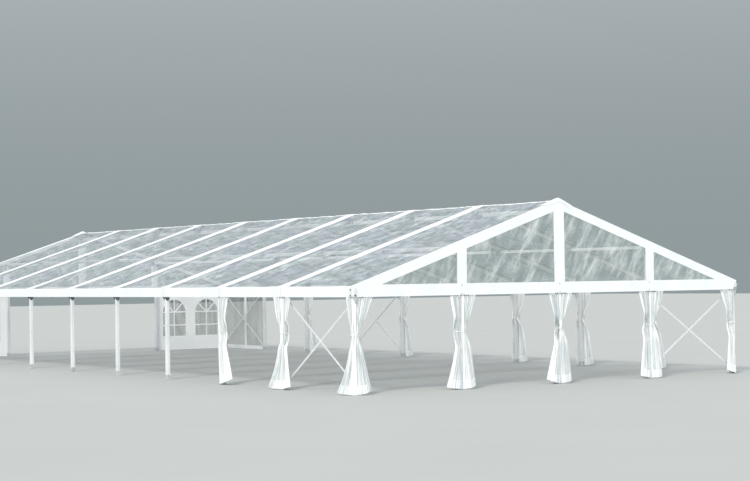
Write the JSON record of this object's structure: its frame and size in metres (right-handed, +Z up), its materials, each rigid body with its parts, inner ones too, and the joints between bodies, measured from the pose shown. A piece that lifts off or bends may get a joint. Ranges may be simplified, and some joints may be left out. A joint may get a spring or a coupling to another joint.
{
  "type": "clear roofed frame marquee tent",
  "caption": "Frame marquee with clear vinyl roof and gables on aluminium portal frames, white valances, gathered side curtains, cross braces and windowed end walls.",
  "frame": {"origin": "on the ground at the centre of the plan", "axes": "+X across the gable to the far side, +Y along the tent to the back gable, +Z up"},
  "size_m": [12.732, 27.8086, 4.5633],
  "materials": {
    "frame_aluminium": "pale anodised extrusion",
    "clear_vinyl": "clear film with white welded borders",
    "white_vinyl": "white coated fabric with clear arched windows",
    "curtain_vinyl": "gathered clear film with white hems",
    "galvanised_steel": "zinc coated flat bar"
  },
  "bodies": {
    "root": {"back_gable_header": "frame_aluminium", "back_gable_post_1": "frame_aluminium", "back_gable_post_3": "frame_aluminium", "back_gable_skin": "clear_vinyl", "back_king_post": "frame_aluminium", "far_back_cross_brace": "galvanised_steel", "far_clear_wall": "clear_vinyl", "far_corner_curtain": "curtain_vinyl", "far_curtain_1": "curtain_vinyl", "far_curtain_2": "curtain_vinyl", "far_curtain_3": "curtain_vinyl", "far_curtain_4": "curtain_vinyl", "far_curtain_5": "curtain_vinyl", "far_curtain_6": "curtain_vinyl", "far_curtain_7": "curtain_vinyl", "far_eave_beam": "frame_aluminium", "far_middle_cross_brace": "galvanised_steel", "far_purlin": "frame_aluminium", "far_window_wall": "white_vinyl", "frame_0": "frame_aluminium", "frame_1": "frame_aluminium", "frame_2": "frame_aluminium", "frame_3": "frame_aluminium", "frame_4": "frame_aluminium", "frame_5": "frame_aluminium", "frame_6": "frame_aluminium", "frame_7": "frame_aluminium", "frame_8": "frame_aluminium", "frame_9": "frame_aluminium", "front_cross_brace": "galvanised_steel", "front_curtain_1": "curtain_vinyl", "front_curtain_2": "curtain_vinyl", "front_curtain_3": "curtain_vinyl", "front_gable_header": "frame_aluminium", "front_gable_post_1": "frame_aluminium", "front_gable_post_2": "frame_aluminium", "front_gable_post_3": "frame_aluminium", "front_gable_skin": "clear_vinyl", "near_clear_wall": "clear_vinyl", "near_corner_curtain": "curtain_vinyl", "near_cross_brace": "galvanised_steel", "near_curtain_1": "curtain_vinyl", "near_curtain_2": "curtain_vinyl", "near_eave_beam": "frame_aluminium", "near_purlin": "frame_aluminium", "near_window_wall": "white_vinyl", "ridge_purlin": "frame_aluminium", "roof_panel_1": "clear_vinyl", "roof_panel_2": "clear_vinyl", "roof_panel_3": "clear_vinyl", "roof_panel_4": "clear_vinyl", "roof_panel_5": "clear_vinyl", "roof_panel_6": "clear_vinyl", "roof_panel_7": "clear_vinyl", "roof_panel_8": "clear_vinyl", "roof_panel_9": "clear_vinyl"}
  },
  "joints": []
}
